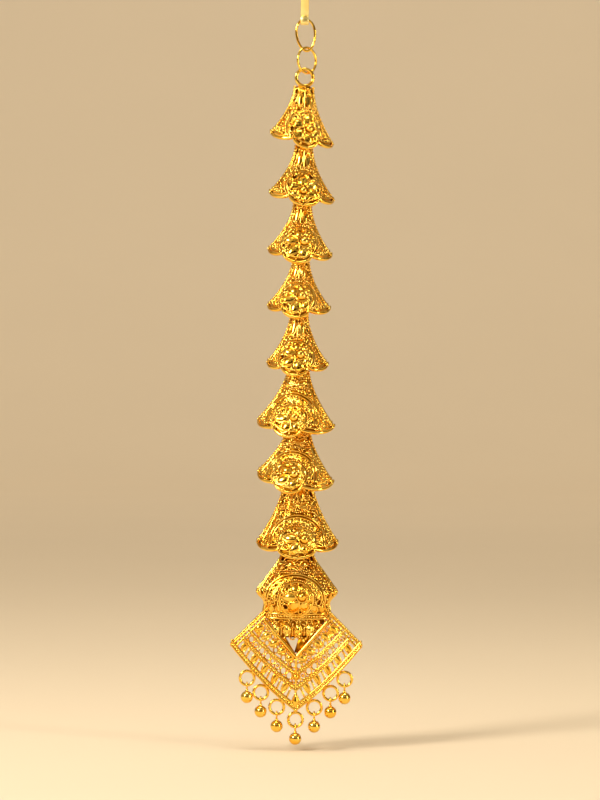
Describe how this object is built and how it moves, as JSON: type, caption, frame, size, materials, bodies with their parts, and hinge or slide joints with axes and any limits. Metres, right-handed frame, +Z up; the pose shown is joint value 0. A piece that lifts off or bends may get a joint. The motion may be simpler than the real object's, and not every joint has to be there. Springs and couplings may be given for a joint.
{
  "type": "maang tikka",
  "caption": "Long gold hair ornament: a hair hook, chain links, a row of filigree half bells and an openwork kite pendant with ball drops.",
  "frame": {"origin": "inside of the hair hook's bend, where the piece hangs", "axes": "+Z up along the hanging chain, -Y towards the front, +X to the right of someone who faces it"},
  "size_m": [0.0272, 0.0099, 0.1615],
  "materials": {
    "filigree_gold": "polished yellow gold filigree with granulation",
    "wire_gold": "smooth polished yellow gold wire",
    "ball_gold": "mirror polished yellow gold",
    "strip_gold": "pale satin gold strip"
  },
  "bodies": {
    "chain": {"hair_hook": "strip_gold", "long_link": "wire_gold", "round_link": "wire_gold", "bell_1": "filigree_gold", "ring_1": "wire_gold", "bell_2": "filigree_gold", "ring_2": "wire_gold", "bell_3": "filigree_gold", "ring_3": "wire_gold", "bell_4": "filigree_gold", "ring_4": "wire_gold", "bell_5": "filigree_gold", "ring_5": "wire_gold", "bell_6": "filigree_gold", "ring_6": "wire_gold", "bell_7": "filigree_gold", "ring_7": "wire_gold", "bell_8": "filigree_gold", "ring_8": "wire_gold"},
    "pendant": {"pendant": "filigree_gold", "drop_1": "ball_gold", "drop_2": "ball_gold", "drop_3": "ball_gold", "drop_4": "ball_gold", "drop_5": "ball_gold", "drop_6": "ball_gold", "drop_7": "ball_gold"}
  },
  "joints": [
    {"name": "pendant_swing", "type": "hinge", "parent": "chain", "child": "pendant", "pos_m": [-0.00015, 0, -0.12028], "axis": [0, 1, 0], "range_deg": [-20, 20]}
  ]
}
